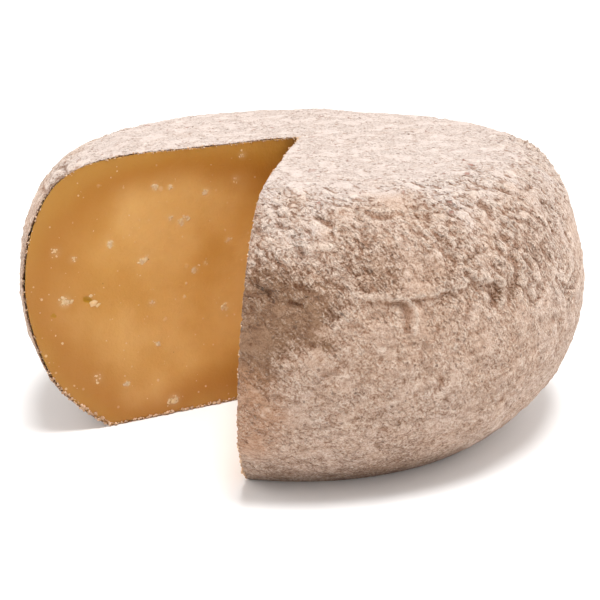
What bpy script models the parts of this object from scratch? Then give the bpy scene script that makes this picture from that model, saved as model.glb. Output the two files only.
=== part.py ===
"""An aged cheese wheel with one wedge cut out of it, as a single solid.

Metres, +Z up. The wheel stands on its flat foot. The origin is on the floor, under the
middle of the belly. The front is -Y, and a bearing turns from the front to the left, -X.
"""

import math

import bmesh
import bpy
from mathutils import Vector, noise

# The wheel: a low drum whose side bulges and then draws in to a smaller flat foot.
BELLY_RADIUS = 0.110
WHEEL_HEIGHT = 0.106
BELLY_HEIGHT = 0.057  # of the widest girth, above the floor
TOP_FLATNESS = 9.3  # power of the radius: the larger, the wider the flat top
SHOULDER_FULLNESS = 1.48  # power of the height: the larger, the squarer the shoulder
FOOT_RADIUS = 0.0815
UNDERCUT_POWER = 2.7  # the larger, the later the side turns in to the foot

# How ripening has left the wheel uneven.
SWELLS = (  # bearing in degrees, height, and how far the skin stands out there
    (55, 0.084, 0.0043),
    (-117, 0.085, 0.0017),
)
SWELL_SPREAD = 0.026
LUMPS = {0.050: 0.0008, 0.021: 0.0004}  # spacing of the lumps: how far they stand out
LUMP_FADE = 0.018  # height above the floor at which the lumps are at full depth

# The cut: two knife planes that meet a little behind the middle.
CUT_MIDDLE = Vector((-0.0041, 0.0059))  # where they meet at half the wheel's height
LEFT_CUT_BEARING = math.radians(62.4)
FRONT_CUT_BEARING = math.radians(8.8)
FRONT_CUT_LEAN = 0.065  # sideways travel to the right for each metre of height
CUT_REACH = 0.2  # how far the cutter runs past the middle
CUT_MARGIN = 0.02  # how far it runs past the top and the foot

# How finely the skin is divided.
AROUND = 90
UPPER_RINGS = 26
LOWER_RINGS = 12
FOOT_RINGS = 2
FINE_STEPS = 400  # points that trace a curve before it is divided evenly


def heading(bearing):
    """The level direction at a bearing."""
    return Vector((-math.sin(bearing), -math.cos(bearing)))


def divided_evenly(curve, pieces):
    """The curve's start and end, with points between them at equal lengths along it."""
    lengths = [0.0]
    for start, end in zip(curve, curve[1:]):
        lengths.append(lengths[-1] + (end - start).length)
    points = [curve[0]]
    index = 0
    for step in range(1, pieces):
        wanted = lengths[-1] * step / pieces
        while lengths[index + 1] < wanted:
            index += 1
        share = (wanted - lengths[index]) / (lengths[index + 1] - lengths[index])
        points.append(curve[index].lerp(curve[index + 1], share))
    return points + [curve[-1]]


def upper_curve():
    """Radius and height from the middle of the top, over the shoulder, to the belly."""
    rise = WHEEL_HEIGHT - BELLY_HEIGHT
    points = []
    for step in range(FINE_STEPS + 1):
        turn = math.pi / 2 * step / FINE_STEPS
        radius = BELLY_RADIUS * math.sin(turn) ** (2 / TOP_FLATNESS)
        height = BELLY_HEIGHT + rise * abs(math.cos(turn)) ** (2 / SHOULDER_FULLNESS)
        points.append(Vector((radius, height)))
    return points


def lower_curve():
    """Radius and height from the belly to the foot's edge."""
    points = []
    for step in range(FINE_STEPS + 1):
        drop = step / FINE_STEPS
        radius = BELLY_RADIUS - (BELLY_RADIUS - FOOT_RADIUS) * drop**UNDERCUT_POWER
        points.append(Vector((radius, BELLY_HEIGHT * (1 - drop))))
    return points


def wheel_profile():
    """The half outline, from the middle of the top, down the side, to the middle of the foot."""
    foot = [Vector((FOOT_RADIUS, 0)), Vector((0, 0))]
    profile = divided_evenly(upper_curve(), UPPER_RINGS)
    profile += divided_evenly(lower_curve(), LOWER_RINGS)[1:]
    profile += divided_evenly(foot, FOOT_RINGS)[1:]
    return profile


def upper_radius(height):
    """The radius of the evenly turned wheel at a height above the belly."""
    rise = (height - BELLY_HEIGHT) / (WHEEL_HEIGHT - BELLY_HEIGHT)
    return BELLY_RADIUS * (1 - rise**SHOULDER_FULLNESS) ** (1 / TOP_FLATNESS)


def swell(point):
    """How far the swells lift the skin at a point."""
    lift = 0
    for bearing, height, depth in SWELLS:
        across = heading(math.radians(bearing)) * upper_radius(height)
        apart = (point - Vector((across.x, across.y, height))).length
        lift += depth * math.exp(-((apart / SWELL_SPREAD) ** 2) / 2)
    return lift


def ripened(point):
    """Where a point of the evenly turned wheel lies once it has swollen and grown its lumps."""
    outward = (point - Vector((0, 0, BELLY_HEIGHT))).normalized()
    fade = min(1.0, point.z / LUMP_FADE)
    lump = sum(depth * noise.noise(point / spacing) for spacing, depth in LUMPS.items())
    return point + outward * (swell(point) + lump) * fade


def cut_corner(height):
    """The point, at a height, where the two knife planes meet."""
    shift = FRONT_CUT_LEAN * (height - WHEEL_HEIGHT / 2)
    left, front = heading(LEFT_CUT_BEARING), heading(FRONT_CUT_BEARING)
    along = shift / (left.x - front.x * left.y / front.y)
    return CUT_MIDDLE + left * along


def material(name, color, roughness):
    """A plain, non-metallic finish."""
    made = bpy.data.materials.new(name)
    made.use_nodes = True
    shader = made.node_tree.nodes["Principled BSDF"]
    shader.inputs["Base Color"].default_value = (*color, 1)
    shader.inputs["Roughness"].default_value = roughness
    shader.inputs["Metallic"].default_value = 0
    made.diffuse_color = (*color, 1)
    return made


def turned_wheel(collection):
    """The whole wheel: its profile turned about Z, then made uneven."""
    profile = wheel_profile()
    edges = [(index, index + 1) for index in range(len(profile) - 1)]
    mesh = bpy.data.meshes.new("wheel_profile")
    mesh.from_pydata([(point.x, 0, point.y) for point in profile], edges, [])
    outline = bpy.data.objects.new("wheel_profile", mesh)
    collection.objects.link(outline)
    screw = outline.modifiers.new("turn", "SCREW")
    screw.axis = "Z"
    screw.steps = AROUND
    screw.render_steps = AROUND
    screw.use_merge_vertices = True
    screw.merge_threshold = 0.00005

    graph = bpy.context.evaluated_depsgraph_get()
    turned = bpy.data.meshes.new_from_object(outline.evaluated_get(graph))
    bpy.data.objects.remove(outline)
    turned.name = "cheese_wheel"
    for vertex in turned.vertices:
        vertex.co = ripened(vertex.co)
    wheel = bpy.data.objects.new("cheese_wheel", turned)
    collection.objects.link(wheel)
    return wheel


def wedge_cutter(collection):
    """The space that the missing wedge filled: a three-sided prism that leans with the knife."""
    shape = bmesh.new()
    bmesh.ops.create_cone(shape, cap_ends=True, segments=3, radius1=1, radius2=1, depth=1)
    for end, height in ((-1, -CUT_MARGIN), (1, WHEEL_HEIGHT + CUT_MARGIN)):
        corner = cut_corner(height)
        left = corner + heading(LEFT_CUT_BEARING) * CUT_REACH
        front = corner + heading(FRONT_CUT_BEARING) * CUT_REACH
        ring = [vertex for vertex in shape.verts if vertex.co.z * end > 0]
        ring.sort(key=lambda vertex: math.atan2(vertex.co.y, vertex.co.x))
        for vertex, place in zip(ring, (corner, left, front)):
            vertex.co = (place.x, place.y, height)
    mesh = bpy.data.meshes.new("wedge_cutter")
    shape.to_mesh(mesh)
    shape.free()
    cutter = bpy.data.objects.new("wedge_cutter", mesh)
    cutter.hide_render = True
    cutter.display_type = "WIRE"
    collection.objects.link(cutter)
    return cutter


def main():
    for existing in list(bpy.data.objects):
        bpy.data.objects.remove(existing)
    parts = bpy.data.collections.new("cheese_wheel")
    cutters = bpy.data.collections.new("cutters")
    bpy.context.scene.collection.children.link(parts)
    bpy.context.scene.collection.children.link(cutters)

    wheel = turned_wheel(parts)
    cutter = wedge_cutter(cutters)
    wheel.data.materials.append(material("rind", (0.52, 0.39, 0.30), 0.9))
    cutter.data.materials.append(material("paste", (0.56, 0.29, 0.08), 0.5))
    cut = wheel.modifiers.new("wedge", "BOOLEAN")
    cut.operation = "DIFFERENCE"
    cut.solver = "EXACT"
    cut.material_mode = "TRANSFER"
    cut.object = cutter
    wheel.data.shade_smooth()
    wheel.data.set_sharp_from_angle(angle=math.radians(35))


main()
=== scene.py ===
import bisect
import math
import random

import bmesh
import bpy
from mathutils import Matrix, Vector, geometry, noise


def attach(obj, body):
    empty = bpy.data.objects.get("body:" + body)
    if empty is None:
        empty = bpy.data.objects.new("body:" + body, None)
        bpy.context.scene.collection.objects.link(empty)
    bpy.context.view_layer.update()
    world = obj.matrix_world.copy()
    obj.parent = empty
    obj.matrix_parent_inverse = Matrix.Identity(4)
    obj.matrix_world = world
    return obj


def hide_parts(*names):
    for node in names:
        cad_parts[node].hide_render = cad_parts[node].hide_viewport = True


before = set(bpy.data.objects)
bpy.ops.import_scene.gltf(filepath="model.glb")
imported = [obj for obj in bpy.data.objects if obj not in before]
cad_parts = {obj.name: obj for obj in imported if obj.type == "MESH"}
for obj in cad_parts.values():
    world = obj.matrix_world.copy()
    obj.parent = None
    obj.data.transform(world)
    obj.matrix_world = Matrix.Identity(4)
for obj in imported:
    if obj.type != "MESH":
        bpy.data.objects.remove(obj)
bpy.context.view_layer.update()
mm = 0.001
traceSteps = 400  # points that trace a curve before it is divided evenly

# The evenly turned wheel and how ripening left it uneven, as in the solid. Metres, degrees.
wheel = {
    "bellyRadius": 0.110,
    "height": 0.106,
    "bellyHeight": 0.057,
    "topFlatness": 9.3,
    "shoulderFullness": 1.48,
    "footRadius": 0.0815,
    "undercutPower": 2.7,
    "swells": ((55, 0.084, 0.0043), (-117, 0.085, 0.0017)),  # bearing, height, depth
    "swellSpread": 0.026,
    "lumps": ((0.050, 0.0008), (0.021, 0.0004)),  # spacing, depth
    "lumpFade": 0.018,
}

# The two knife cuts. A bearing turns from the front, -Y, to the left, -X.
knife = {
    "meeting": (-0.0041, 0.0059),  # at half height
    "leftBearing": 62.4,
    "frontBearing": 8.8,
    "frontLean": 0.065,  # sideways travel for each metre of height
    "slicedFrom": -15 * mm,  # how far behind the meeting line the slices begin
}


def heading(bearing):
    turn = math.radians(bearing)
    return Vector((-math.sin(turn), -math.cos(turn), 0))


def ease(value, low, high):
    share = min(1.0, max(0.0, (value - low) / (high - low)))
    return share * share * (3 - 2 * share)


def upperRadius(height):
    rise = (height - wheel["bellyHeight"]) / (wheel["height"] - wheel["bellyHeight"])
    rise = min(1.0, max(0.0, rise))
    return wheel["bellyRadius"] * (1 - rise ** wheel["shoulderFullness"]) ** (1 / wheel["topFlatness"])


def lowerRadius(height):
    drop = 1 - height / wheel["bellyHeight"]
    draw = wheel["bellyRadius"] - wheel["footRadius"]
    return wheel["bellyRadius"] - draw * drop ** wheel["undercutPower"]


def onSide(bearing, height):
    radius = upperRadius(height) if height > wheel["bellyHeight"] else lowerRadius(height)
    return heading(bearing) * radius + Vector((0, 0, height))


def evenly(curve, spacing):
    # the same curve with points at equal lengths along it
    lengths = [0.0]
    for start, end in zip(curve, curve[1:]):
        lengths.append(lengths[-1] + (end - start).length)
    pieces = round(lengths[-1] / spacing)
    points, index = [curve[0]], 0
    for step in range(1, pieces):
        wanted = lengths[-1] * step / pieces
        while lengths[index + 1] < wanted:
            index += 1
        share = (wanted - lengths[index]) / (lengths[index + 1] - lengths[index])
        points.append(curve[index].lerp(curve[index + 1], share))
    return points + [curve[-1]]


def wheelOutline(spacing, footSpacing):
    # from the middle of the top, over the shoulder and the belly, to the middle of the foot
    belly, rise = wheel["bellyHeight"], wheel["height"] - wheel["bellyHeight"]
    upper, lower = [], []
    for step in range(2 * traceSteps + 1):
        turn = math.pi / 2 * step / (2 * traceSteps)
        radius = wheel["bellyRadius"] * math.sin(turn) ** (2 / wheel["topFlatness"])
        height = belly + rise * abs(math.cos(turn)) ** (2 / wheel["shoulderFullness"])
        upper.append(Vector((radius, 0, height)))
    for step in range(traceSteps + 1):
        height = belly * (1 - step / traceSteps)
        lower.append(Vector((lowerRadius(height), 0, height)))
    skin = evenly(upper + lower[1:], spacing)
    foot = evenly([lower[-1], Vector((0, 0, 0))], footSpacing)
    return skin + foot[1:]


swellPlaces = [(onSide(bearing, height), depth) for bearing, height, depth in wheel["swells"]]


def ripeLift(place):
    # how far ripening has lifted the skin: low lumps all over, and a few broad swells
    lift = sum(depth * noise.noise(place / spacing) for spacing, depth in wheel["lumps"])
    for middle, depth in swellPlaces:
        apart = (place - middle).length / wheel["swellSpread"]
        lift += depth * math.exp(-(apart**2) / 2)
    return lift * min(1.0, place.z / wheel["lumpFade"])


def ripened(place):
    outward = (place - Vector((0, 0, wheel["bellyHeight"]))).normalized()
    return place + outward * ripeLift(place)


# The planes of the cuts: a point on each, and which way its missing wedge lies.
leftAlong, frontAlong = heading(knife["leftBearing"]), heading(knife["frontBearing"])
cornerSlide = knife["frontLean"] / (leftAlong.x - frontAlong.x * leftAlong.y / frontAlong.y)
cornerLine = (Vector((0, 0, 1)) + leftAlong * cornerSlide).normalized()
cutMeeting = Vector((*knife["meeting"], wheel["height"] / 2))
leftNormal = leftAlong.cross(Vector((0, 0, 1))).normalized()
frontNormal = frontAlong.cross(cornerLine).normalized()
leftNormal *= math.copysign(1, leftNormal.dot(frontAlong))
frontNormal *= math.copysign(1, frontNormal.dot(leftAlong))


def cutSides(place):
    apart = place - cutMeeting
    return apart.dot(leftNormal), apart.dot(frontNormal)


def fromCut(place):
    # how deep a place lies in the cheese behind the nearer cut face
    left, front = cutSides(place)
    if left <= 0 and front <= 0:
        return math.hypot(left, front)
    return -min(left, front)


firstDoubling = 0.0125  # radius beyond which the columns of a turned form are first doubled


def inOrder(rough):
    # spin lists its faces in an order of its own each time, so they are made again in one order
    rough.verts.index_update()
    rings = []
    for face in rough.faces:
        ring = [vert.index for vert in face.verts]
        start = ring.index(min(ring))
        ring = ring[start:] + ring[:start]
        rings.append(ring if ring[1] < ring[-1] else ring[:1] + ring[:0:-1])
    shape = bmesh.new()
    verts = [shape.verts.new(vert.co) for vert in rough.verts]
    for ring in sorted(rings):
        shape.faces.new([verts[index] for index in ring])
    rough.free()
    return shape


def turned(outline, columns):
    # turns an outline with few columns, then doubles them three times on the way out
    rough = bmesh.new()
    verts = [rough.verts.new(point) for point in outline]
    edges = [rough.edges.new(pair) for pair in zip(verts, verts[1:])]
    bmesh.ops.spin(rough, geom=verts + edges, cent=(0, 0, 0), axis=(0, 0, 1), dvec=(0, 0, 0),
                   angle=math.tau, steps=columns, use_merge=True)
    bmesh.ops.remove_doubles(rough, verts=rough.verts[:], dist=0.02 * mm)
    shape = inOrder(rough)
    for doubling in range(3):
        reach = firstDoubling * 2**doubling
        rings = [edge for edge in shape.edges if onRing(edge, reach)]
        made = bmesh.ops.subdivide_edges(shape, edges=rings, cuts=1)["geom_inner"]
        stretch = 1 / math.cos(math.pi / columns)
        for vert in [piece for piece in made if isinstance(piece, bmesh.types.BMVert)]:
            vert.co.x *= stretch
            vert.co.y *= stretch
        columns *= 2
    bmesh.ops.recalc_face_normals(shape, faces=shape.faces[:])
    return shape


def onRing(edge, reach):
    first, second = (vert.co for vert in edge.verts)
    if abs(first.z - second.z) > 0.001 * mm or first.xy.length < reach:
        return False
    return abs(first.xy.length - second.xy.length) < 0.01 * mm


def ripeWheel(rows):
    shape = turned(wheelOutline(rows["rowSpacing"], rows["footSpacing"]), rows["columns"])
    for vert in shape.verts:
        vert.co = ripened(vert.co)
    shape.normal_update()
    return shape


def cutOpen(shape, setBack=0.0):
    # slices with both knife planes, near the wedge only, and takes the wedge away
    for normal, along in ((leftNormal, leftAlong), (frontNormal, frontAlong)):
        near = [face for face in shape.faces
                if (face.calc_center_median() - cutMeeting).dot(along) > knife["slicedFrom"]]
        bmesh.ops.bisect_plane(shape, geom=withParts(near), plane_co=cutMeeting - normal * setBack,
                               plane_no=normal, dist=0.001 * mm)
    wedge = [face for face in shape.faces
             if min(cutSides(face.calc_center_median())) > -setBack]
    bmesh.ops.delete(shape, geom=wedge, context="FACES")


def newLayers(shape, *names):
    return [shape.verts.layers.float.new(name) for name in names]


def withParts(faces):
    # the faces with their corners and edges, always in the same order
    geom = dict.fromkeys(faces)
    for face in faces:
        geom.update(dict.fromkeys([*face.verts, *face.edges]))
    return list(geom)


def rimEdges(shape):
    return [edge for edge in shape.edges if edge.is_boundary]


def addPiece(name, shape, finish):
    mesh = bpy.data.meshes.new(name)
    shape.to_mesh(mesh)
    shape.free()
    mesh.materials.append(finish)
    mesh.shade_smooth()
    piece = bpy.data.objects.new(name, mesh)
    bpy.context.scene.collection.objects.link(piece)
    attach(piece, "root")
    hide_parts("cheese_wheel")
    triangles = sum(len(face.vertices) - 2 for face in mesh.polygons)
    print(f"{name}: {triangles} triangles")
    return piece


# Helpers for the finishes: every pattern is laid out in metres on Object coordinates.
def newFinish(name):
    finish = bpy.data.materials.new(name)
    finish.use_nodes = True
    tree = finish.node_tree
    return finish, tree, tree.nodes["Principled BSDF"]


def feed(tree, node, inputs):
    for key, value in inputs.items():
        if isinstance(value, bpy.types.NodeSocket):
            tree.links.new(value, node.inputs[key])
        else:
            node.inputs[key].default_value = value


def put(tree, kind, inputs, **settings):
    node = tree.nodes.new(kind)
    for key, value in settings.items():
        setattr(node, key, value)
    feed(tree, node, inputs)
    return node


def cloud(tree, coords, spacing, detail=2.0, roughness=0.5):
    inputs = {"Vector": coords, "Scale": 1 / spacing, "Detail": detail, "Roughness": roughness}
    return put(tree, "ShaderNodeTexNoise", inputs).outputs["Fac"]


def cells(tree, coords, spacing):
    inputs = {"Vector": coords, "Scale": 1 / spacing}
    return put(tree, "ShaderNodeTexVoronoi", inputs, feature="F1").outputs


def chances(tree, cell):
    # three numbers from 0 to 1 that each cell draws for itself
    return put(tree, "ShaderNodeSeparateColor", {"Color": cell["Color"]}).outputs


def ramp(tree, value, low, high, start=0.0, end=1.0):
    inputs = {"Value": value, "From Min": low, "From Max": high, "To Min": start, "To Max": end}
    return put(tree, "ShaderNodeMapRange", inputs, interpolation_type="SMOOTHSTEP").outputs[0]


def mixed(tree, share, first, second, blend="MIX"):
    first = (*first, 1) if isinstance(first, tuple) else first
    second = (*second, 1) if isinstance(second, tuple) else second
    inputs = {0: share, 6: first, 7: second}
    return put(tree, "ShaderNodeMix", inputs, data_type="RGBA", blend_type=blend).outputs[2]


def reckon(tree, operation, first, second, third=0.0, clamp=False):
    inputs = {0: first, 1: second, 2: third}
    return put(tree, "ShaderNodeMath", inputs, operation=operation, use_clamp=clamp).outputs[0]


def scaled(tree, value, factor, shift, clamp=False):
    return reckon(tree, "MULTIPLY_ADD", value, factor, shift, clamp)


def times(tree, first, second):
    return reckon(tree, "MULTIPLY", first, second)


def bumps(tree, height, depth, strength):
    inputs = {"Height": height, "Distance": depth, "Strength": strength}
    return put(tree, "ShaderNodeBump", inputs).outputs[0]


def measured(tree, name):
    return put(tree, "ShaderNodeAttribute", {}, attribute_name=name).outputs["Fac"]


def objectCoords(tree):
    return put(tree, "ShaderNodeTexCoord", {}).outputs["Object"]


# The rind: a dusty skin, smooth and pitted on top, crumbly round the shoulder.
rind = {
    "columns": 78,  # near the poles; doubled three times on the way out
    "rowSpacing": 1.08 * mm,
    "footSpacing": 3.2 * mm,
    # spacing, then depth on the top, round the shoulder and low on the side, all in mm
    "relief": (
        (11.0, 0.30, 0.60, 0.45),
        (4.4, 0.26, 0.80, 0.26),
        (2.0, 0.24, 1.00, 0.26),
    ),
    "ridges": ((3.8, 0.75), (1.9, 0.70)),  # spacing and depth of the slanting ridges
    "ridgeTwist": 6.5,  # how far they slant: turn for each metre of height
    "ridgeStretch": 0.36,
    "crumbSpacing": 3.3,
    "crumbDepth": 0.6,
    "scabSpacing": 6.5,
    "scabDepth": 0.40,
    "markDepth": 1.3,  # times the depth given for each mark
    "zoneWander": 0.016,  # spacing of the bends in the edges of the zones
    "dustWander": 0.013,
}

# Marks in the skin: each the bearings and heights of its path, then its width and depth, in mm.
rindMarks = (
    # the curved ridge at the front, and the hollows beside it
    (((-15.8, 75), (-17.4, 73.6), (-19.1, 71.4), (-19.2, 67), (-18.5, 63)), 0.8, 0.8),
    (((-14.8, 72.6), (-14.4, 70), (-13.9, 68)), 2.2, -0.35),
    (((-17.3, 71), (-17.5, 67), (-17.0, 64)), 1.2, -0.4),
    # slits, notches and chips near the front cut
    (((1.0, 74.1), (2.5, 74.7)), 0.8, -1.1),
    (((0.9, 90.3), (0.5, 88)), 1.0, -1.2),
    (((-1.6, 91.2), (-4.2, 90.8)), 1.3, 0.7),
    (((-2.3, 98.8), (-4.3, 97.6)), 1.0, -0.7),
    (((-14.6, 99.4), (-16.2, 99.2)), 1.6, 0.9),
    (((-13.6, 98.4), (-15.2, 97.8), (-17.2, 98.2)), 0.9, -0.8),
    # round the right shoulder
    (((-43.6, 103), (-44.4, 101.4)), 1.5, -1.0),
    (((-38.8, 100.3), (-39.2, 99.6)), 1.8, 0.8),
    (((-39.6, 98.4), (-40.2, 96), (-39.7, 94.1)), 1.5, -1.1),
    (((-48.3, 100), (-49.2, 99)), 1.5, -0.8),
    (((-55.8, 102.3), (-56.2, 102)), 1.1, -0.9),
    (((-71, 102.7), (-70.4, 102)), 0.9, -0.8),
    (((-57.5, 87), (-58.3, 83.2)), 1.1, -0.9),
    (((-64.6, 80), (-65.4, 76.6)), 0.9, -0.9),
    (((-51.3, 81), (-51.8, 78.6)), 1.2, -0.9),
    (((-45.2, 78.6), (-46.0, 75.8)), 1.0, -0.8),
    # upright folds below the flaked edge
    (((-36.1, 73.5), (-35.6, 70.5), (-35.2, 67.6)), 1.5, -0.8),
    (((-37.4, 74.5), (-37.6, 71), (-36.7, 67)), 1.0, 0.7),
    (((-40.2, 73.6), (-39.6, 70.5), (-38.8, 66.4)), 1.0, -0.8),
    (((-40.9, 81.5), (-41.7, 77), (-41.0, 72.5)), 1.2, -0.7),
    (((-42.8, 82), (-43.4, 77), (-42.6, 71.5), (-41.3, 67)), 1.2, 0.6),
    (((-30, 70), (-29.3, 67), (-28.8, 64.6)), 1.8, -0.5),
    # cracks on top and along the left cut
    (((-27.8, 104.6), (-29.0, 103.8)), 0.9, -0.7),
    (((-10.4, 105.6), (-13.0, 105.5)), 0.7, -0.6),
    (((-5.4, 104.8), (-7.4, 104)), 0.8, -0.5),
    (((66.2, 99.5), (70, 100.6), (77, 100.8)), 0.8, -1.0),
    (((66.0, 94.8), (71, 93.6), (77, 93)), 0.8, -0.9),
    (((66.2, 102), (68.5, 102.4)), 1.2, -0.8),
)

# Where the upper skin has flaked off the smoother layer below it.
flakeEdge = {
    "path": ((-5, 76.5), (-8.3, 74.5), (-12.7, 73.9), (-18, 73.2), (-24.5, 74), (-28.8, 75),
             (-31.3, 75.6), (-34.2, 74.8), (-37, 73)),
    "depth": 1.0,
    "reach": 9.0,
    "jags": (2.2 * mm, 1.2 * mm),  # spacing and depth
    "setsIn": (7, 13),  # bearings to the right of the front, in degrees
    "fadesOut": (42, 50),
}

# Brown, earthy patches: bearing, height, spread in mm, strength.
brownPatches = (
    (7, 67, 6.5, 1.0), (10.5, 60, 6.5, 1.0), (0.5, 69, 5.0, 0.7), (10, 74, 6.0, 0.9), (2, 76, 5.0, 0.4),
    (-4, 74, 5.0, 0.3), (-1, 80, 6.0, 0.25), (7, 82, 5.0, 0.5), (8, 50, 5.0, 0.4), (-13, 78, 5.0, 0.15),
    (-36.3, 70.2, 2.4, 0.6), (-40.0, 70.5, 2.0, 0.55), (-12, 84, 7.0, 0.4), (-25, 80, 8.0, 0.3),
    (-3.4, 61, 1.4, 0.9), (-1.0, 62.2, 1.4, 0.8), (-50, 80, 7.0, 0.35), (-18, 12, 14.0, 0.35),
    (6, 14, 9.0, 0.3), (-60, 92, 6.0, 0.4), (120, 80, 12.0, 0.5), (170, 60, 14.0, 0.4),
    (67, 99, 2.6, 0.8), (66.5, 95, 2.6, 0.7), (76, 100.5, 2.2, 0.6), (-150, 84, 11.0, 0.5),
    (-110, 70, 8.0, 0.3), (85, 50, 10.0, 0.35),
)
rustPatches = ((9, 34, 9.0, 1.0), (10, 46, 7.0, 0.7), (11, 22, 6.0, 0.7), (140, 30, 10.0, 0.5))


def nearPath(place, path):
    # the nearest point of a path, and how far off it is
    best, away = None, 1.0
    for start, end in zip(path, path[1:]):
        point, share = geometry.intersect_point_line(place, start, end)
        point = start if share < 0 else end if share > 1 else point
        apart = (place - point).length
        if apart < away:
            best, away = point, apart
    return best, away


def onSkin(bearing, height):
    # a place on the ripened skin, from its bearing and its height in mm
    return ripened(onSide(bearing, height * mm))


markPlaces = [([onSkin(*point) for point in path], 1.15 * width * mm, depth)
              for path, width, depth in rindMarks]
tip = ripened(cutMeeting + cornerLine * ((wheel["height"] - cutMeeting.z) / cornerLine.z))
markPlaces.append(([tip, tip - leftAlong * 5 * mm], 0.7 * mm, -0.9))  # the knife went a little too far
flakePath = [onSkin(*point) for point in flakeEdge["path"]]
brownPlaces, rustPlaces = ([(onSkin(bearing, height), spread * mm, strength)
                            for bearing, height, spread, strength in patches]
                           for patches in (brownPatches, rustPatches))


def patchAt(place, patches):
    total = 0.0
    for middle, spread, strength in patches:
        apart = (place - middle).length / spread
        if apart < 3:
            total += strength * math.exp(-(apart**2) / 2)
    return total


def zones(place):
    # how far a place counts as the top, the shoulder and the lower side, which reaches up to
    # the flaked edge at the front and to the belly elsewhere
    wander = noise.noise(place / rind["zoneWander"] + Vector((6, 2, 9)))
    onTop = (1 - ease(place.xy.length + 0.016 * wander, 0.070, 0.094)) if place.z > 0.08 else 0.0
    rightward = math.degrees(math.atan2(place.x, -place.y))
    edge = 0.062 + 0.013 * ease(rightward, -14, -8) * (1 - ease(rightward, 36, 44))
    low = 1 - ease(place.z + 0.012 * wander, edge - 0.007, edge + 0.004)
    return onTop, max(0.0, 1 - onTop - low), low


def roughness(place):
    return 0.8 + 1.3 * noise.noise(place / 0.021 + Vector((4, 1, 7)))


def crumbliness(place):
    onTop, belt, low = zones(place)
    return 0.25 * onTop + belt * roughness(place) + 0.4 * low


def scabAt(place):
    # smooth raised plates of skin, with crumbs between them
    return ease(noise.noise(place / (rind["scabSpacing"] * mm) + Vector((7, 3, 5))), 0.16, 0.27)


def alongRidges(place, way):
    turn = Matrix.Rotation(way * rind["ridgeTwist"] * (place.z - 0.08), 3, "Z")
    twisted = turn @ place
    twisted.z *= rind["ridgeStretch"]
    return twisted


def rindRelief(place):
    # how far the skin stands proud of the ripened wheel, in metres
    rightward = math.degrees(math.atan2(place.x, -place.y))
    onTop, belt, low = zones(place)
    scab = scabAt(place)
    rough = roughness(place) * (1 - 0.65 * scab)
    height = rind["scabDepth"] * scab * (0.5 * onTop + belt + 0.4 * low)
    for turn, (spacing, top, shoulder, base) in enumerate(rind["relief"]):
        wave = noise.noise(place / (spacing * mm) + Vector((turn * 3.1, 9, 2)))
        height += base * low * wave
        # higher up the finer waves are folded, so that they become lumps with creases between
        folded = wave if turn == 0 else 1.3 * abs(wave) - 0.26
        height += (top * onTop + shoulder * belt * rough) * folded
    # slanting ridges: the same noise twisted about the axis and drawn out
    twisted = alongRidges(place, 1) if low < 0.5 else alongRidges(place, -1)
    slanting = (belt * rough + 0.25 * low + 0.10 * onTop) * ease(rightward, -25, 15)
    for spacing, deep in rind["ridges"]:
        height += deep * slanting * noise.noise(twisted / (spacing * mm))
    # bites where crumbs have fallen out
    bite = noise.noise(place / (rind["crumbSpacing"] * mm) + Vector((2, 5, 8)))
    height -= rind["crumbDepth"] * ease(bite, 0.22, 0.60) * (0.45 * onTop + belt * rough + 0.25 * low)
    marked, near = 0.0, 0.0
    for path, width, depth in markPlaces:
        if (place - path[0]).length < 20 * mm:
            point, away = nearPath(place, path)
            marked += depth * math.exp(-((away / width) ** 2))
            near = max(near, math.exp(-((away / (2.4 * width)) ** 2)))
    height = height * (1 - 0.6 * near) + rind["markDepth"] * marked
    if 0 < rightward < 52 and 0.055 < place.z < 0.092:
        point, away = nearPath(place, flakePath)
        spacing, depth = flakeEdge["jags"]
        fade = 1 - ease(away / mm, 2.0, flakeEdge["reach"])
        fade *= ease(rightward, *flakeEdge["setsIn"]) * (1 - ease(rightward, *flakeEdge["fadesOut"]))
        jagged = depth * noise.noise(place / spacing)
        above = ease(place.z - point.z + jagged, -0.4 * mm, 0.4 * mm) - 0.4
        height *= 0.6 + 0.4 * ease(away / mm, 1.0, 3.5)
        height += flakeEdge["depth"] * above * fade
    return height * mm


def buildRind(finish):
    shape = ripeWheel(rind)
    relief = shape.verts.layers.float.new("relief")
    for vert in shape.verts:
        if vert.co.z < 0.1 * mm:
            lift = -0.35 * mm * max(0.0, noise.noise(vert.co / 0.009))
            lift *= 1 - ease(vert.co.xy.length, 0.072, 0.080)
        else:
            calm = 0.4 + 0.6 * ease(fromCut(vert.co), 0.3 * mm, 3.0 * mm)
            lift = rindRelief(vert.co) * calm * ease(vert.co.z, 0.5 * mm, 9 * mm)
        vert[relief] = lift
    for vert in shape.verts:
        vert.co += vert.normal * vert[relief]
    markHollows(shape, relief)
    cutOpen(shape)
    paintRind(shape)
    growRim(shape)
    return addPiece("rind", shape, finish)


def markHollows(shape, relief):
    # how much lower a place lies than the skin around it, from 0 to 1, with 0.5 level
    hollow = shape.verts.layers.float.new("hollow")
    shape.verts.index_update()
    heights = [vert[relief] for vert in shape.verts]
    around = [[edge.other_vert(vert).index for edge in vert.link_edges] for vert in shape.verts]
    level = heights
    for _ in range(3):
        level = [(here + sum(level[other] for other in others)) / (1 + len(others))
                 for here, others in zip(level, around)]
    for vert, height, mean in zip(shape.verts, heights, level):
        vert[hollow] = min(1.0, max(0.0, 0.5 + (mean - height) / (0.5 * mm)))


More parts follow.
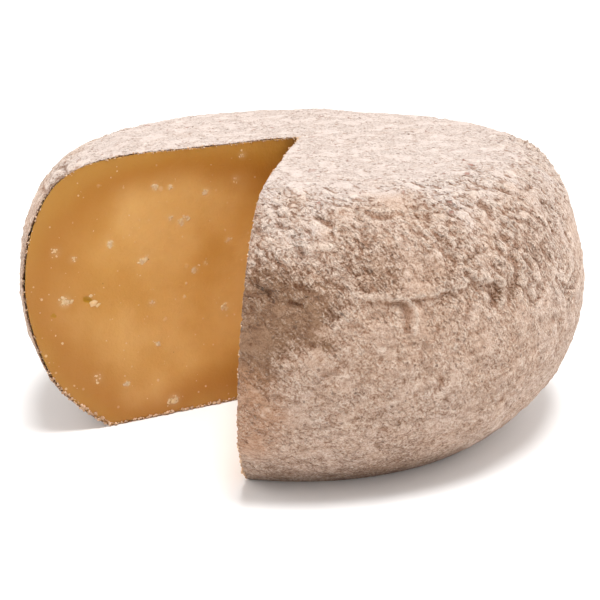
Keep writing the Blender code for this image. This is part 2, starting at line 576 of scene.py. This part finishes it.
def paintRind(shape):
    dustAndSidelight, brown, rust, crumbly, scab = newLayers(shape, "dustAndSidelight", "brown", "rust", "crumbly", "scab")
    newLayers(shape, "rim")
    for vert in shape.verts:
        place = vert.co
        radius = place.xy.length
        wander = 0.014 * noise.noise(place / rind["dustWander"] + Vector((6, 2, 9)))
        top = 1 - ease(radius + wander, 0.080, 0.104) if place.z > 0.08 else 0.0
        # painted light: the right side made paler, standing in for light grazing it
        side = 0.35 * ease(math.degrees(math.atan2(place.x, -place.y)), 25, 75)
        shoulder = 0.30 * ease(place.z, 0.070, 0.100)
        vert[dustAndSidelight] = max(top, shoulder + side, 0.2 * (1 - ease(place.z, 0.03, 0.06)))
        vert[crumbly] = crumbliness(place)
        vert[scab] = scabAt(place)
        # brown patches, and darker brown towards the bottom
        vert[brown] = patchAt(place, brownPlaces) + 0.4 * (1 - ease(place.z, 2 * mm, 15 * mm))
        vert[rust] = patchAt(place, rustPlaces)


# The broken edge of the rind along the cuts: how far each strip reaches in from the skin,
# how far it stands out of the cut, both in mm, and how dark it is. The darkness is the
# rind's dark inner layer and partly painted shade in the groove just under the rind.
rimStrips = (
    (0.20, 0.04, 0.35),
    (0.30, -0.28, 1.0),
    (0.45, -0.45, 1.0),
)


def growRim(shape):
    rim = shape.verts.layers.float.get("rim")
    bounds = rimEdges(shape)
    bmesh.ops.subdivide_edges(shape, edges=bounds, cuts=2)
    shape.normal_update()
    bounds = rimEdges(shape)
    ways = {}
    for vert in {vert for edge in bounds for vert in edge.verts}:
        left, front = (abs(side) < 0.2 * mm for side in cutSides(vert.co))
        out = vert.normal.copy()
        facing = Vector()
        for near, normal in ((left, leftNormal), (front, frontNormal)):
            if near:
                out -= normal * out.dot(normal)
                facing += normal
        if left and front:
            out = cornerLine * math.copysign(1, vert.normal.dot(cornerLine))
        ways[vert] = (out.normalized(), facing.normalized())
        chip = max(0.0, noise.noise(vert.co / (1.7 * mm)))
        notch = max(0.0, noise.noise(vert.co / (1.2 * mm) + Vector((5, 0, 0))))
        vert.co -= ways[vert][0] * chip * 0.45 * mm + ways[vert][1] * notch * 0.7 * mm
    for inward, proud, dark in rimStrips:
        bounds = rimEdges(shape)
        sources = {}
        for edge in bounds:
            for vert in edge.verts:
                sources[tuple(vert.co)] = vert
        grown = bmesh.ops.extrude_edge_only(shape, edges=bounds)["geom"]
        for vert in [piece for piece in grown if isinstance(piece, bmesh.types.BMVert)]:
            out, facing = ways[sources[tuple(vert.co)]]
            ways[vert] = (out, facing)
            ragged = 1 + 0.9 * noise.noise(vert.co / (1.3 * mm) + Vector((inward * 9, 0, 0)))
            uneven = 1.3 * noise.noise(vert.co / (1.0 * mm) + Vector((0, inward * 9, 5)))
            vert.co += facing * (proud + 0.12 * uneven) * mm - out * inward * ragged * mm
            vert[rim] = dark


rindFinish = {
    "chalk": (0.585, 0.495, 0.448),  # the dusty top
    "pale": (0.58, 0.455, 0.378),  # dusty patches on the side
    "skin": (0.50, 0.352, 0.262),
    "shadeAndFleckTint": (0.58, 0.44, 0.35),  # multiplies in painted shade between the grains and in hollows, and darkens the fine flecks
    # grain: the painted highlight on grain tops and raised places
    "grain": (0.82, 0.68, 0.57),
    "brown": (0.24, 0.135, 0.075),
    "pinholeShade": (0.12, 0.06, 0.035),
    "poreShade": (0.18, 0.095, 0.055),
    "rust": (0.40, 0.205, 0.105),
    "crack": (0.30, 0.13, 0.09),
    "rim": (0.16, 0.075, 0.035),
    # spacings of the patterns, in metres
    "grainSize": 0.0011,
    "broad": 0.024,
    "mottle": 0.0085,
    "speck": 0.0006,
    "pebble": 0.0008,
    "lump": 0.0026,
    "warp": (0.0020, 0.0014),  # with its depth
    "holeSpacing": 0.0024,
    "streak": 0.0045,
    "crackWave": 0.0055,
    "crackGap": 0.0036,
    "bumpDepth": 0.00078,
    "sheenTint": (1.0, 0.97, 0.95, 1),
}


def grains(tree, coords, size):
    # a height from 0 to 1 of packed grains with gaps between them
    return scaled(tree, cells(tree, coords, size)["Distance"], -1.35, 1.15, clamp=True)


def stretched(tree, coords, factors):
    inputs = {0: coords, 1: factors}
    return put(tree, "ShaderNodeVectorMath", inputs, operation="MULTIPLY").outputs[0]


def shifted(tree, coords, shift):
    return put(tree, "ShaderNodeVectorMath", {0: coords, 1: shift}).outputs[0]


def twistedCoords(tree, coords):
    # coordinates drawn out along the same twist as the ridges of the mesh
    height = put(tree, "ShaderNodeSeparateXYZ", {"Vector": coords}).outputs["Z"]
    turn = scaled(tree, height, rind["ridgeTwist"], -0.08 * rind["ridgeTwist"])
    twisted = put(tree, "ShaderNodeVectorRotate", {"Vector": coords, "Angle": turn},
                  rotation_type="Z_AXIS")
    return stretched(tree, twisted.outputs[0], (1, 1, 0.5))


def makeRindFinish():
    finish, tree, shader = newFinish("rindFinish")
    coords = objectCoords(tree)
    broad = cloud(tree, coords, rindFinish["broad"], 2)
    mottle = cloud(tree, coords, rindFinish["mottle"], 4, 0.6)
    speck = cloud(tree, coords, rindFinish["speck"], 2, 0.6)
    dustAndSidelight = measured(tree, "dustAndSidelight")
    hollow = measured(tree, "hollow")
    crumbly = measured(tree, "crumbly")

    # grains over larger lumps, both drawn out along the ridges
    spacing, depth = rindFinish["warp"]
    warp = put(tree, "ShaderNodeTexNoise", {"Vector": coords, "Scale": 1 / spacing, "Detail": 1.0})
    warp = stretched(tree, warp.outputs["Color"], (depth,) * 3)
    slanted = shifted(tree, twistedCoords(tree, coords), warp)
    even = shifted(tree, coords, warp)
    grain = grains(tree, slanted, rindFinish["grainSize"])
    pebble = cloud(tree, even, rindFinish["pebble"], 1, 0.5)
    proud = scaled(tree, pebble, 1.3, scaled(tree, grain, 0.5, -0.45))
    lump = reckon(tree, "ADD", cloud(tree, slanted, rindFinish["lump"], 2, 0.5), -0.5)

    # smooth dusty patches, more of them on top, and the right side paler as painted light
    calm = scaled(tree, mottle, 0.9, reckon(tree, "ADD", measured(tree, "scab"), -0.75))
    calm = ramp(tree, calm, 0.0, 0.4)
    dustyAndSidelit = scaled(tree, dustAndSidelight, 0.75, scaled(tree, mottle, 1.2, -0.75))
    dustyAndSidelit = scaled(tree, broad, 0.5, scaled(tree, calm, 0.10, dustyAndSidelit))
    dustyAndSidelit = ramp(tree, dustyAndSidelit, -0.1, 0.9)
    dustAndSidelightTone = mixed(tree, dustAndSidelight, rindFinish["pale"], rindFinish["chalk"])
    colour = mixed(tree, dustyAndSidelit, rindFinish["skin"], dustAndSidelightTone)

    # brown patches, darker brown towards the bottom, and rusty patches
    brown = measured(tree, "brown")
    brownShare = scaled(tree, brown, 1.0, times(tree, mottle, 0.5))
    brownShare = scaled(tree, proud, -0.9, reckon(tree, "ADD", brownShare, 0.30))
    colour = mixed(tree, ramp(tree, brownShare, 0.15, 1.0, 0, 0.9), colour, rindFinish["brown"])
    rusty = times(tree, measured(tree, "rust"), mottle)
    colour = mixed(tree, ramp(tree, rusty, 0.05, 0.5, 0, 0.65), colour, rindFinish["rust"])

    # painted shade between the grains and in hollows, and painted highlight on grain tops and raised
    # places
    loose = scaled(tree, calm, -0.6, 0.36)
    loose = scaled(tree, crumbly, 0.9, loose, clamp=True)
    # painted shade: the gaps between loose grains darkened
    between = times(tree, ramp(tree, proud, 0.40, 0.10, 0, 0.8), loose)
    colour = mixed(tree, between, colour, rindFinish["shadeAndFleckTint"], "MULTIPLY")
    flecks = ramp(tree, speck, 0.55, 0.30, 0, 0.75)
    flecks = times(tree, flecks, ramp(tree, dustAndSidelight, 0.3, 1.0, 1.0, 0.45))
    colour = mixed(tree, flecks, colour, rindFinish["shadeAndFleckTint"], "MULTIPLY")
    # painted highlight on the tops of loose grains
    litTops = ramp(tree, reckon(tree, "ADD", proud, speck), 0.95, 1.4, 0, 0.45)
    litTops = times(tree, litTops, loose)
    litTops = times(tree, litTops, ramp(tree, brown, 0.0, 0.9, 1.0, 0.5))
    colour = mixed(tree, litTops, colour, rindFinish["grain"])
    sunk = scaled(tree, speck, -0.3, reckon(tree, "ADD", hollow, 0.15))
    # painted highlight on raised places, less of it on brown patches
    raised = ramp(tree, sunk, 0.42, 0.05)
    raised = times(tree, raised, ramp(tree, brown, 0, 0.6, 0.35, 0.05))
    colour = mixed(tree, raised, colour, rindFinish["grain"])
    # painted shade in the hollows of the skin
    colour = mixed(tree, ramp(tree, sunk, 0.50, 1.0, 0, 0.85), colour, rindFinish["shadeAndFleckTint"], "MULTIPLY")

    # pinholes and pores in level streaks, painted dark as the shade inside them, and short curved
    # cracks on top
    cell = cells(tree, even, rindFinish["holeSpacing"])
    size = ramp(tree, chances(tree, cell)[0], 0.55, 1.0, 0.0, 0.26)
    hole = ramp(tree, reckon(tree, "SUBTRACT", size, cell["Distance"]), -0.06, 0.10)
    colour = mixed(tree, times(tree, hole, 0.6), colour, rindFinish["pinholeShade"])
    streak = cloud(tree, stretched(tree, coords, (1, 1, 2.4)), rindFinish["streak"], 3, 0.6)
    pores = ramp(tree, scaled(tree, streak, 1.0, speck), 1.05, 1.19)
    often = ramp(tree, dustAndSidelight, 0.15, 0.8, 0.6, 0.2)
    often = scaled(tree, brown, 0.5, often, clamp=True)
    pores = times(tree, pores, often)
    colour = mixed(tree, pores, colour, rindFinish["poreShade"])
    waves = reckon(tree, "SUBTRACT", cloud(tree, even, rindFinish["crackWave"], 1), 0.5)
    crack = ramp(tree, reckon(tree, "ABSOLUTE", waves, 0.0), 0.045, 0.010)
    broken = reckon(tree, "ADD", cloud(tree, coords, rindFinish["crackGap"], 2), -0.06)
    broken = scaled(tree, dustAndSidelight, 0.06, broken)
    crack = times(tree, crack, ramp(tree, broken, 0.58, 0.68))
    crack = times(tree, crack, ramp(tree, dustAndSidelight, 0.30, 0.75))
    colour = mixed(tree, times(tree, crack, 0.75), colour, rindFinish["crack"])

    # the broken edge along the cuts: the rind's dark inner layer, partly painted shade in the groove
    edge = scaled(tree, speck, -1.1, reckon(tree, "ADD", measured(tree, "rim"), 0.45))
    colour = mixed(tree, ramp(tree, edge, 0.25, 0.75, 0, 0.95), colour, rindFinish["rim"])

    fine = reckon(tree, "ADD", proud, -0.45)
    fine = times(tree, fine, scaled(tree, loose, 0.75, 0.35))
    fine = scaled(tree, speck, 0.15, fine)
    coarser = times(tree, lump, scaled(tree, loose, 2.2, 0.5))
    bumpy = scaled(tree, hole, -0.4, scaled(tree, crack, -0.5, fine))
    bumpy = reckon(tree, "ADD", bumpy, coarser)
    feed(tree, shader, {
        "Base Color": colour,
        "Normal": bumps(tree, bumpy, rindFinish["bumpDepth"], 1.0),
        "Roughness": ramp(tree, speck, 0.3, 0.7, 0.86, 1.0),
        "Specular IOR Level": 0.15,
        "Sheen Weight": 0.12,
        "Sheen Roughness": 0.5,
        "Sheen Tint": rindFinish["sheenTint"],
    })
    return finish


# The paste: the firm amber body of the cheese, seen on the two cut faces.
paste = {
    "columns": 20,
    "rowSpacing": 1.2 * mm,
    "footSpacing": 4 * mm,
    "inset": (0.42, 3.0),  # behind the skin at the cut, and away from it, in mm
    "setBack": 0.12 * mm,  # of its cut faces behind the rind's broken edge
    "cell": 1.0 * mm,
    "faceSize": (0.114, 0.108),  # how far the cells reach along a cut and up it
    "waves": ((26, 0.16), (9, 0.07), (3.5, 0.03)),  # spacing and depth in mm
}

# Clusters of cloudy crystals on the left face: mm along the cut, height, spread, strength.
cloudySpots = (
    (76.4, 73, 1.7, 1.0), (64.1, 64.7, 1.6, 1.0), (62.0, 66, 1.2, 0.6), (42.5, 57.9, 1.8, 0.8),
    (36.8, 88.3, 2.0, 0.8), (57.6, 92.6, 1.7, 1.0), (51.5, 91.9, 1.4, 0.8), (52, 80, 1.6, 0.7),
    (47.6, 77.6, 1.8, 0.9), (44.8, 79, 1.4, 0.8), (95, 53.2, 2.4, 0.9), (59.1, 30.3, 1.1, 1.0),
    (72.6, 16.2, 1.5, 1.0), (53.4, 5.6, 3.0, 0.8), (30.1, 40.8, 2.2, 0.8), (28, 68.1, 1.8, 0.7),
    (97.5, 72.5, 2.4, 0.5), (91, 69, 2.0, 0.5), (84, 21, 2.6, 0.5), (60.8, 47.4, 2.0, 0.6),
    (21, 101, 2.0, 0.6), (24, 92, 2.2, 0.5), (38, 60, 1.4, 0.6),
)

# Small pits in the left face: mm along the cut, height, width and depth.
pastePits = ((86.9, 52.9, 0.8, 1.0), (85.7, 52.4, 0.8, 0.9), (99.7, 48.6, 0.7, 0.6))


def onLeftFace(along, height):
    return cutMeeting + leftAlong * along * mm + Vector((0, 0, height * mm - cutMeeting.z))


def fromBelly(place):
    # which way a place lies from the middle of the belly, and how far
    radius, rise = place.xy.length, place.z - wheel["bellyHeight"]
    return math.atan2(rise, radius), math.hypot(rise, radius)


skinReaches = sorted(fromBelly(point) for point in wheelOutline(0.5 * mm, 0.5 * mm))


def skinDepth(place):
    # how deep a place lies under the skin, in metres
    angle, away = fromBelly(place)
    index = min(bisect.bisect(skinReaches, (angle, 0)), len(skinReaches) - 1)
    return skinReaches[index][1] - away + ripeLift(place)


def buildPaste(finish):
    shape = ripeWheel(paste)
    for vert in shape.verts:
        shallow, deep = (inset * mm for inset in paste["inset"])
        inset = shallow + (deep - shallow) * ease(fromCut(vert.co), 0.3 * mm, 5 * mm)
        vert.co -= vert.normal * inset
    cutOpen(shape, paste["setBack"])
    for cap, along in closeCuts(shape):
        gridCap(shape, cap, along)
    dressCuts(shape)
    addPiece("paste", shape, finish)


def closeCuts(shape):
    # an edge down the corner where the cuts meet, then a flat face over each cut
    bounds = rimEdges(shape)
    verts = {vert for edge in bounds for vert in edge.verts}
    back = paste["setBack"]
    onLeft = {vert for vert in verts if abs(cutSides(vert.co)[0] + back) < 0.01 * mm}
    onFront = {vert for vert in verts if abs(cutSides(vert.co)[1] + back) < 0.01 * mm}
    corner = sorted(onLeft & onFront, key=lambda vert: vert.co.z)
    seam = shape.edges.new((corner[0], corner[-1]))
    caps = []
    for group, along, normal in ((onLeft, leftAlong, leftNormal), (onFront, frontAlong, frontNormal)):
        loop = [edge for edge in bounds if edge.verts[0] in group and edge.verts[1] in group]
        made = bmesh.ops.contextual_create(shape, geom=loop + [seam])["faces"]
        for face in made:
            face.normal_update()
            if face.normal.dot(normal) < 0:
                face.normal_flip()
        caps.append((made, along))
    return caps


def gridCap(shape, cap, along):
    # slices a flat cap into small cells, upright first and then level
    cell = paste["cell"]
    wide, high = paste["faceSize"]
    upright = [cutMeeting + along * cell * (step + 0.5) for step in range(int(wide / cell))]
    level = [Vector((0, 0, cell * (step + 0.5))) for step in range(int(high / cell))]
    strips = sliced(shape, cap, upright, along)
    sliced(shape, strips, level, Vector((0, 0, 1)))


def sliced(shape, faces, points, normal):
    # one slice after another, each only through what is left beyond the last
    done, rest = [], list(faces)
    for point in points:
        made = bmesh.ops.bisect_plane(shape, geom=withParts(rest), plane_co=point, plane_no=normal,
                                      dist=0.001 * mm)["geom"]
        pieces = [piece for piece in made if isinstance(piece, bmesh.types.BMFace)]
        rest = []
        for piece in pieces:
            beyond = (piece.calc_center_median() - point).dot(normal) > 0
            (rest if beyond else done).append(piece)
    return done + rest


def dressCuts(shape):
    cloudy, depth, cornerShade = newLayers(shape, "cloudy", "depth", "cornerShade")
    back = paste["setBack"]
    for vert in shape.verts:
        left, front = (side + back for side in cutSides(vert.co))
        vert[depth] = min(1.0, max(0.0, skinDepth(vert.co) / 0.030))
        # painted shade in the corner where the two cuts meet
        vert[cornerShade] = 1 - ease(fromCorner(vert.co), 0, 11 * mm)
        onLeft, onFront = abs(left) < 0.01 * mm, abs(front) < 0.01 * mm
        if onLeft == onFront:
            continue
        if onLeft:
            total = 0.0
            for along, height, spread, strength in cloudySpots:
                apart = (vert.co - onLeftFace(along, height)).length / (spread * mm)
                total += strength * math.exp(-(apart**2)) if apart < 3 else 0
            vert[cloudy] = min(1.0, total)
            for along, height, width, deep in pastePits:
                apart = (vert.co - onLeftFace(along, height)).length / (width * mm)
                dent = math.exp(-(apart**2)) if apart < 3 else 0.0
                vert.co -= leftNormal * deep * dent * mm
                vert[cloudy] -= 1.6 * dent
        calm = ease(skinDepth(vert.co), 1 * mm, 4 * mm) * ease(fromCorner(vert.co), 0, 3 * mm)
        lift = sum(deep * noise.noise(vert.co / (spacing * mm)) for spacing, deep in paste["waves"])
        vert.co += (leftNormal if onLeft else frontNormal) * lift * calm * mm


def fromCorner(place):
    return (place - cutMeeting).cross(cornerLine).length


pasteFinish = {
    "heart": (0.675, 0.39, 0.132),
    "amber": (0.60, 0.318, 0.082),
    # edge and rimward also carry the painted shade near the top of the faces
    "edge": (0.405, 0.166, 0.022),
    "rimwardAndTopShade": (0.46, 0.235, 0.042),
    # painted shade in the corner between the cuts
    "cornerShade": (0.24, 0.10, 0.014),
    "crystal": (0.76, 0.54, 0.31),
    "lip": (0.74, 0.50, 0.34),
    "pinhole": (0.22, 0.10, 0.02),
    "glassy": (0.42, 0.21, 0.008),
    "glow": 0.22,
    "glowRadius": (1.0, 0.42, 0.12),
    "glowReach": 0.0025,
    # spacings of the patterns, in metres
    "broad": 0.030,
    "mottle": 0.006,
    "speck": 0.0012,
    "clusterLump": 0.0010,
    "specks": ((0.0075, 0.70, 0.20), (0.0030, 0.82, 0.22), (0.0017, 0.88, 0.26)),  # rarity, radius
    "holeSpacing": 0.0065,
    "bumpDepth": 0.25 * mm,
}


def makePasteFinish():
    finish, tree, shader = newFinish("pasteFinish")
    coords = objectCoords(tree)
    depth = measured(tree, "depth")
    broad = cloud(tree, coords, pasteFinish["broad"], 2)
    mottle = cloud(tree, coords, pasteFinish["mottle"], 4, 0.6)
    speck = cloud(tree, coords, pasteFinish["speck"], 3, 0.65)
    colour = mixed(tree, ramp(tree, broad, 0.35, 0.65), pasteFinish["amber"], pasteFinish["heart"])
    # painted shade: the cut faces darker towards the top, where the light only grazes them
    height = put(tree, "ShaderNodeSeparateXYZ", {"Vector": coords}).outputs["Z"]
    inward = reckon(tree, "ADD", depth, ramp(tree, height, 0.070, 0.104, -0.45, -0.75))
    inward = scaled(tree, broad, 0.9, inward)
    colour = mixed(tree, ramp(tree, inward, 0.0, 1.15, 1.0, 0.0), colour, pasteFinish["edge"])
    colour = mixed(tree, ramp(tree, inward, -0.20, 0.30, 0.7, 0.0), colour, pasteFinish["rimwardAndTopShade"])
    colour = mixed(tree, ramp(tree, mottle, 0.45, 0.75, 0, 0.12), colour, pasteFinish["edge"])
    # painted shade in the corner where the cuts meet
    cornerShade = measured(tree, "cornerShade")
    colour = mixed(tree, ramp(tree, cornerShade, 0, 1, 0, 0.9), colour, pasteFinish["cornerShade"])
    lip = scaled(tree, speck, -0.06, depth)
    colour = mixed(tree, ramp(tree, lip, -0.03, 0.0, 0.6, 0.0), colour, pasteFinish["lip"])

    # cloudy crystals: the placed clusters, and scattered ones of three sizes
    cloudy = measured(tree, "cloudy")
    cell = cells(tree, coords, pasteFinish["clusterLump"])
    total = scaled(tree, cell["Distance"], -0.55, cloudy)
    total = scaled(tree, speck, 0.5, reckon(tree, "ADD", total, -0.25))
    total = ramp(tree, total, 0.22, 0.50)
    for spacing, rarity, radius in pasteFinish["specks"]:
        cell = cells(tree, coords, spacing)
        chance = chances(tree, cell)
        size = ramp(tree, chance[0], rarity, 1.0, 0.0, radius)
        blob = reckon(tree, "SUBTRACT", size, cell["Distance"])
        blob = scaled(tree, speck, 0.16, reckon(tree, "ADD", blob, -0.08))
        faint = ramp(tree, chance[1], 0, 1, 0.35, 1.0)
        blob = times(tree, ramp(tree, blob, 0.0, 0.06), faint)
        total = reckon(tree, "MAXIMUM", total, blob)
    colour = mixed(tree, ramp(tree, cloudy, 0.02, 0.9, 0, 0.32), colour, pasteFinish["crystal"])
    colour = mixed(tree, times(tree, total, 0.72), colour, pasteFinish["crystal"])
    colour = mixed(tree, ramp(tree, cloudy, -0.1, -0.5, 0, 0.9), colour, pasteFinish["glassy"])
    cell = cells(tree, coords, pasteFinish["holeSpacing"])
    size = ramp(tree, chances(tree, cell)[2], 0.75, 1.0, 0.0, 0.055)
    pinhole = reckon(tree, "SUBTRACT", size, cell["Distance"])
    colour = mixed(tree, ramp(tree, pinhole, -0.02, 0.02, 0, 0.6), colour, pasteFinish["pinhole"])

    bumpy = scaled(tree, total, 0.9, scaled(tree, mottle, 1.2, speck))
    feed(tree, shader, {
        "Base Color": colour,
        "Normal": bumps(tree, bumpy, pasteFinish["bumpDepth"], 0.6),
        "Roughness": ramp(tree, mottle, 0.3, 0.7, 0.38, 0.55),
        "Subsurface Weight": pasteFinish["glow"],
        "Subsurface Radius": pasteFinish["glowRadius"],
        "Subsurface Scale": pasteFinish["glowReach"],
        "Specular IOR Level": 0.35,
    })
    return finish


# Crumbs of rind and paste that cling along both cuts.
crumbs = {
    "count": 1400,
    "radius": (0.20, 0.70),
    "colour": (0.66, 0.45, 0.30),
    "shade": (0.42, 0.25, 0.14),
    "glowRadius": (1.0, 0.6, 0.35),
    "uneven": 0.9,
    "seed": 11,
}


def addLump(shape, place, radius, flatten, turn):
    size = Matrix.Diagonal((1, flatten[0], flatten[1], 1))
    matrix = Matrix.Translation(place) @ turn.to_4x4() @ size
    made = bmesh.ops.create_icosphere(shape, subdivisions=1, radius=radius, matrix=matrix)
    for vert in made["verts"]:
        push = 1 + crumbs["uneven"] * noise.noise(vert.co / (radius * 1.4) + Vector((7, 3, 1)))
        vert.co = place + (vert.co - place) * push


def anyTurn(draw):
    axis = Vector((draw.uniform(-1, 1), draw.uniform(-1, 1), draw.uniform(-1, 1))).normalized()
    return Matrix.Rotation(draw.uniform(0, math.tau), 3, axis)


def buildCrumbs(rindPiece, finish):
    draw = random.Random(crumbs["seed"])
    rim = rindPiece.data.attributes["rim"].data
    dark = rimStrips[0][2]
    places = [vert.co.copy() for vert, value in zip(rindPiece.data.vertices, rim)
              if abs(value.value - dark) < 0.01]
    shape = bmesh.new()
    made = 0
    while made < crumbs["count"]:
        place = draw.choice(places)
        low = 1 - ease(place.z, 0.006, 0.035)
        if draw.random() > 0.35 + 0.65 * low:
            continue
        made += 1
        small, large = crumbs["radius"]
        radius = (small + (large - small) * draw.random() ** 2.2) * (0.7 + 0.55 * low) * mm
        inward = (Vector((0, 0, wheel["bellyHeight"])) - place).normalized()
        place = place + inward * draw.uniform(-0.25, 0.9 + 0.5 * low) * mm
        place.z = max(place.z, radius)
        flatten = (draw.uniform(0.6, 1), draw.uniform(0.5, 0.9))
        addLump(shape, place, radius, flatten, anyTurn(draw))
    addPiece("rindCrumbs", shape, finish).data.shade_flat()


def makeCrumbFinish():
    finish, tree, shader = newFinish("crumbFinish")
    coords = objectCoords(tree)
    mottle = cloud(tree, coords, 0.0035, 3, 0.6)
    grain = cloud(tree, coords, 0.0005, 2)
    colour = mixed(tree, ramp(tree, mottle, 0.4, 0.62), crumbs["colour"], crumbs["shade"])
    feed(tree, shader, {
        "Base Color": colour,
        "Normal": bumps(tree, grain, 0.2 * mm, 0.6),
        "Roughness": ramp(tree, grain, 0.3, 0.7, 0.8, 0.95),
        "Subsurface Weight": 0.15,
        "Subsurface Radius": crumbs["glowRadius"],
        "Subsurface Scale": 1 * mm,
    })
    return finish


# White crystals that stand just out of the cut faces.
crystals = {
    "count": 120,
    "radius": (0.16, 0.36),
    "colour": (0.78, 0.54, 0.30),
    "crumbColour": (0.68, 0.40, 0.15),
    "glowRadius": (1.0, 0.7, 0.4),
    "seed": 5,
    # the large ones on the left face: mm along the cut, height, radius
    "large": ((84.0, 51.0, 1.8), (82.2, 50.0, 1.2), (84.8, 53.9, 0.8), (92.5, 53.0, 0.9),
              (59.1, 30.3, 0.7), (47.4, 76.3, 0.55), (45.1, 78.5, 0.45), (72.6, 16.2, 0.75),
              (53.4, 5.0, 1.3), (63.6, 64.6, 0.5)),
}


def addCrystal(shape, draw, place, normal, radius):
    place = place - normal * (paste["setBack"] + 0.08 * radius)
    spin = Matrix.Rotation(draw.uniform(0, math.tau), 3, "Z")
    turn = normal.to_track_quat("Z", "Y").to_matrix() @ spin
    addLump(shape, place, radius, (draw.uniform(0.6, 1), 0.32), turn)


def buildCrystals(finish):
    draw = random.Random(crystals["seed"])
    shape = bmesh.new()
    made = 0
    small, large = (radius * mm for radius in crystals["radius"])
    while made < crystals["count"]:
        onLeft = draw.random() < 0.5
        along, normal = (leftAlong, leftNormal) if onLeft else (frontAlong, frontNormal)
        reach, height = draw.uniform(6, 106) * mm, draw.uniform(6, 100) * mm
        place = cutMeeting + along * reach
        place += cornerLine * ((height - place.z) / cornerLine.z)
        if skinDepth(place) < 5 * mm:
            continue
        addCrystal(shape, draw, place, normal, small + (large - small) * draw.random() ** 2.5)
        made += 1
    # crumbly clusters where the left face is cloudy
    for along, height, spread, strength in cloudySpots:
        for _ in range(round(5 * strength * spread)):
            across = along + draw.gauss(0, 0.38 * spread)
            near = onLeftFace(across, height + draw.gauss(0, 0.34 * spread))
            addCrystal(shape, draw, near, leftNormal, (0.3 + 0.6 * strength * draw.random()) * mm)
    for along, height, radius in crystals["large"]:
        addCrystal(shape, draw, onLeftFace(along, height), leftNormal, radius * mm)
    addPiece("crystals", shape, finish).data.shade_flat()


def makeCrystalFinish():
    finish, tree, shader = newFinish("crystalFinish")
    coords = objectCoords(tree)
    mottle = cloud(tree, coords, 0.004, 2)
    grain = cloud(tree, coords, 0.0004, 1)
    crumbly = ramp(tree, mottle, 0.3, 0.7, 0, 0.5)
    feed(tree, shader, {
        "Base Color": mixed(tree, crumbly, crystals["colour"], crystals["crumbColour"]),
        "Normal": bumps(tree, grain, 0.1 * mm, 0.4),
        "Roughness": ramp(tree, grain, 0.3, 0.7, 0.6, 0.8),
        "Subsurface Weight": 0.4,
        "Subsurface Radius": crystals["glowRadius"],
        "Subsurface Scale": 2 * mm,
    })
    return finish


rindPiece = buildRind(makeRindFinish())
buildPaste(makePasteFinish())
buildCrumbs(rindPiece, makeCrumbFinish())
buildCrystals(makeCrystalFinish())

# The studio: a white floor under a soft sky with one lamp overhead.
studio = {
    "floorColour": (0.88, 0.88, 0.88),
    "floorPaler": (0.90, 0.90, 0.90),
    "floorSize": 6,
    "skyWay": (0.0, 0.6, 0.8),  # where the sky is brightest
    "skyTop": 0.55,
    "skyEdge": 0.08,
    "skySpread": (0.0, 1.0),
    "skySides": 1.95,  # added brightness to the left and right
    "sideSpread": (0.2, 0.9),
    "lampWay": (0.09, -0.17, 0.97),  # towards the lamp: overhead, a little in front
    "lampPower": 2.85,
    "lampSpread": 20,
}


def buildFloor():
    shape = bmesh.new()
    bmesh.ops.create_grid(shape, x_segments=8, y_segments=8, size=studio["floorSize"])
    mesh = bpy.data.meshes.new("floor")
    shape.to_mesh(mesh)
    shape.free()
    finish, tree, shader = newFinish("floorFinish")
    shade = cloud(tree, objectCoords(tree), 0.4, 1)
    colour = mixed(tree, shade, studio["floorColour"], studio["floorPaler"])
    feed(tree, shader, {"Base Color": colour, "Roughness": 0.6, "Specular IOR Level": 0.2})
    mesh.materials.append(finish)
    floor = bpy.data.objects.new("floor", mesh)
    bpy.context.scene.collection.objects.link(floor)


def buildSky():
    world = bpy.data.worlds.new("studioSky")
    bpy.context.scene.world = world
    world.use_nodes = True
    tree = world.node_tree
    way = put(tree, "ShaderNodeTexCoord", {}).outputs["Generated"]
    bright = Vector(studio["skyWay"]).normalized()
    near = put(tree, "ShaderNodeVectorMath", {0: way, 1: bright}, operation="DOT_PRODUCT")
    near = ramp(tree, near.outputs["Value"], *studio["skySpread"], studio["skyEdge"], studio["skyTop"])
    sideways = put(tree, "ShaderNodeSeparateXYZ", {"Vector": way}).outputs["X"]
    sideways = reckon(tree, "ABSOLUTE", sideways, 0.0)
    sides = ramp(tree, sideways, *studio["sideSpread"], 0.0, studio["skySides"])
    power = reckon(tree, "ADD", sides, near)
    feed(tree, tree.nodes["Background"], {"Color": (1, 1, 1, 1), "Strength": power})


def addLamp():
    light = bpy.data.lights.new("softLamp", "SUN")
    light.energy = studio["lampPower"]
    light.angle = math.radians(studio["lampSpread"])
    lamp = bpy.data.objects.new("softLamp", light)
    lamp.location = (0, 0, 1)
    lamp.rotation_euler = Vector(studio["lampWay"]).to_track_quat("Z", "Y").to_euler()
    bpy.context.scene.collection.objects.link(lamp)


# The camera: where it stands, how far it is turned, tipped down and rolled, in degrees.
view = {
    "eye": (-0.00509, -0.4840, 0.1980),
    "turned": -0.50,
    "down": 17.994,
    "rolled": -0.382,
    "lens": 75.68,
    "sensor": 36,
}


def placeCamera():
    camera = bpy.data.cameras.new("camera")
    camera.sensor_width = view["sensor"]
    camera.lens = view["lens"]
    camera.dof.use_dof = False
    camera.clip_start = 0.01
    eye = bpy.data.objects.new("camera", camera)
    turn = Matrix.Rotation(math.radians(view["turned"]), 4, "Z")
    tilt = Matrix.Rotation(math.radians(90 - view["down"]), 4, "X")
    roll = Matrix.Rotation(math.radians(view["rolled"]), 4, "Z")
    eye.matrix_world = Matrix.Translation(view["eye"]) @ turn @ tilt @ roll
    bpy.context.scene.collection.objects.link(eye)
    bpy.context.scene.camera = eye


buildFloor()
buildSky()
addLamp()
placeCamera()
bpy.context.scene.view_settings.view_transform = "Standard"
print("studio: floor, sky, soft lamp and camera")
